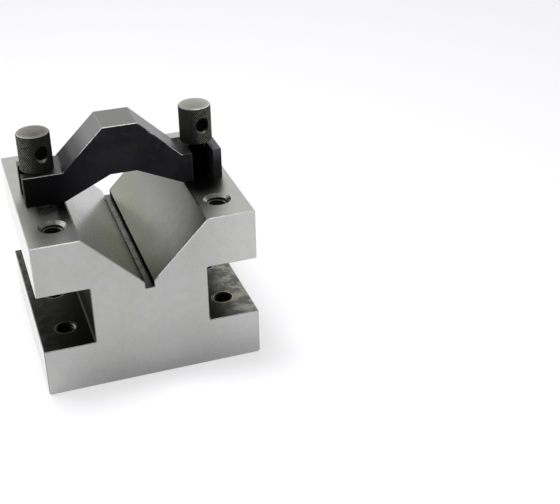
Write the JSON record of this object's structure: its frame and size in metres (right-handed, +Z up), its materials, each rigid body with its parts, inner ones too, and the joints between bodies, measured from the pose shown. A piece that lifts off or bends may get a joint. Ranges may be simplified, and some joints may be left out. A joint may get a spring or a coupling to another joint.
{
  "type": "v block with clamp",
  "caption": "Square steel v block with side slots, tapped holes and an arched bar clamp held by knurled screws.",
  "frame": {"origin": "middle of the block's underside, on the surface it stands on", "axes": "+Z up, +Y along the vee away from the front face, +X across the vee to the side of the clamp's hook"},
  "size_m": [0.105, 0.105, 0.115],
  "materials": {
    "ground_steel": "ground faces, dark unground slots",
    "black_clamp": "black oxide, satin",
    "black_screw": "black oxide, knurled head, bright turned top"
  },
  "bodies": {
    "block": {"v_block": "ground_steel"},
    "clamp": {"clamp_bridge": "black_clamp"},
    "left_screw": {"left_clamp_screw": "black_screw"},
    "right_screw": {"right_clamp_screw": "black_screw"}
  },
  "joints": [
    {"name": "clamp_lift", "type": "slide", "parent": "block", "child": "clamp", "axis": [0, 0, 1], "range_m": [0, 0.015]},
    {"name": "left_screw_turn", "type": "hinge", "parent": "clamp", "child": "left_screw", "pos_m": [-0.03925, 0, 0.094], "axis": [0, 0, 1], "range_deg": [0, 3610]},
    {"name": "right_screw_turn", "type": "hinge", "parent": "clamp", "child": "right_screw", "pos_m": [0.03925, 0, 0.0964], "axis": [0, 0, 1], "range_deg": [0, 3610]}
  ],
  "couplings": [
    {"joint": "left_screw_turn", "follows": "clamp_lift", "rad_per_m": 4188.8},
    {"joint": "right_screw_turn", "follows": "clamp_lift", "rad_per_m": 4188.8}
  ]
}
